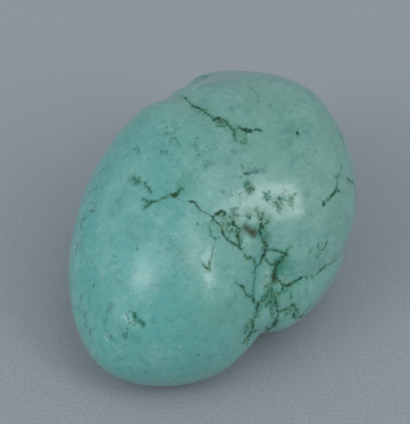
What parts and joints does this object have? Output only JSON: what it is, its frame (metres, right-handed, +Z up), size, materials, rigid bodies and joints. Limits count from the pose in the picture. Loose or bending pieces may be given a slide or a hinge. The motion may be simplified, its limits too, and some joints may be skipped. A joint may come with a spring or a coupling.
{
  "type": "turquoise nugget",
  "caption": "Tumbled turquoise nugget: one smooth, waxy blue-green stone of two fused rounded lobes and a small foot, with dark matrix veins in the creases between them.",
  "frame": {"origin": "middle of the bounding box's underside, on the surface that the stone rests on", "axes": "+Z up from the worn flats that the stone rests on, Y along its longest side with the small foot and the narrower front lobe towards -Y, X across it"},
  "size_m": [0.052, 0.0596, 0.0383],
  "materials": {
    "turquoise": "tumbled, waxed turquoise with dark matrix veins"
  },
  "bodies": {
    "root": {"nugget": "turquoise"}
  },
  "joints": []
}
